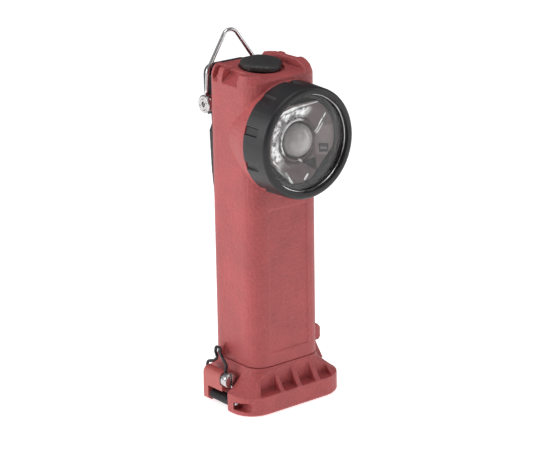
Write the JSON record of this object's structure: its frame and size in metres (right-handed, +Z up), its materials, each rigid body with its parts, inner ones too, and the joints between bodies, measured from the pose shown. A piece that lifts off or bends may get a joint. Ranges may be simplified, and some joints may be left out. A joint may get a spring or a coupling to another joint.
{
  "type": "firefighter flashlight",
  "caption": "Right-angle firefighter flashlight: boxy nylon barrel, round forward-facing head, latched hinged tail cap, spring clip, wire hanging ring and push button.",
  "frame": {"origin": "middle of the foot's flat underside, below the barrel's own axis", "axes": "+Z up along the barrel to the head and its button, the lens faces -Y, the tail latch is on the -X side"},
  "size_m": [0.0675, 0.068, 0.1925],
  "materials": {
    "nylon": "matte, fine moulded grain",
    "lever_nylon": "satin",
    "black_nylon": "satin",
    "rubber": "matte",
    "steel": "polished",
    "black_steel": "black oxide",
    "clear": "clear",
    "optic": "clear",
    "aluminium": "as machined",
    "board": "solder mask",
    "phosphor": "silicone",
    "brass": "bright",
    "cell_wrap": "shrink wrap",
    "lead_black": "insulation",
    "lead_red": "insulation"
  },
  "bodies": {
    "barrel": {"barrel_housing": "nylon", "face_ring": "black_nylon", "lens": "clear", "lens_gasket": "rubber", "optic_holder": "black_nylon", "collimator": "optic", "led_emitter": "phosphor", "led_board": "board", "heat_sink": "aluminium", "driver_board": "board", "tactile_switch": "black_nylon", "switch_board": "board", "cell_left": "cell_wrap", "cell_right": "cell_wrap", "cell_cradle": "black_nylon", "top_contact_left": "brass", "top_contact_right": "brass", "top_contact_board": "board", "lead_left": "lead_black", "lead_right": "lead_red", "tail_hinge_pin": "steel", "clip_axle": "steel", "clip_screw_left": "steel", "clip_screw_right": "steel", "clip_spring": "steel"},
    "button": {"button_boot": "rubber", "switch_plunger": "black_nylon"},
    "tail_cap_group": {"tail_cap": "nylon", "tail_cap_gasket": "rubber", "latch_pivot_pin": "steel", "latch_spring": "black_steel", "tail_contact_carrier": "black_nylon", "tail_contact_plate": "steel", "tail_spring_left": "steel", "tail_spring_right": "steel", "carrier_screw_front": "steel", "carrier_screw_rear": "steel"},
    "lever_group": {"latch_lever": "lever_nylon", "latch_screw": "steel"},
    "bail_loop": {"latch_bail": "black_steel"},
    "clip_body": {"spring_clip": "black_nylon"},
    "ring_body": {"d_ring": "steel"}
  },
  "joints": [
    {"name": "button_press", "type": "slide", "parent": "barrel", "child": "button", "axis": [0, 0.0958, -0.9954], "range_m": [0, 0.0014], "stiffness_N_per_m": 800, "springref_m": -0.0006},
    {"name": "tail_cap_swing", "type": "hinge", "parent": "barrel", "child": "tail_cap_group", "pos_m": [0.024, 0, 0.0315], "axis": [0, -1, 0], "range_deg": [0, 85]},
    {"name": "latch_lever_swing", "type": "hinge", "parent": "tail_cap_group", "child": "lever_group", "pos_m": [-0.03, 0, 0.0049], "axis": [0, -1, 0], "range_deg": [0, 103]},
    {"name": "latch_bail_swing", "type": "hinge", "parent": "lever_group", "child": "bail_loop", "pos_m": [-0.03, 0, 0.0159], "axis": [0, -1, 0], "range_deg": [0, 112]},
    {"name": "clip_swing", "type": "hinge", "parent": "barrel", "child": "clip_body", "pos_m": [0, 0.0235, 0.156], "axis": [1, 0, 0], "range_deg": [0, 22], "stiffness_Nm_per_rad": 0.8, "springref_deg": -11.46},
    {"name": "ring_swing", "type": "hinge", "parent": "barrel", "child": "ring_body", "pos_m": [0, 0.0235, 0.156], "axis": [1, 0, 0], "range_deg": [-110, 8]}
  ],
  "couplings": [
    {"joint": "latch_lever_swing", "follows": "tail_cap_swing", "ratio": 1.2},
    {"joint": "latch_bail_swing", "follows": "tail_cap_swing", "ratio": 1.3}
  ]
}
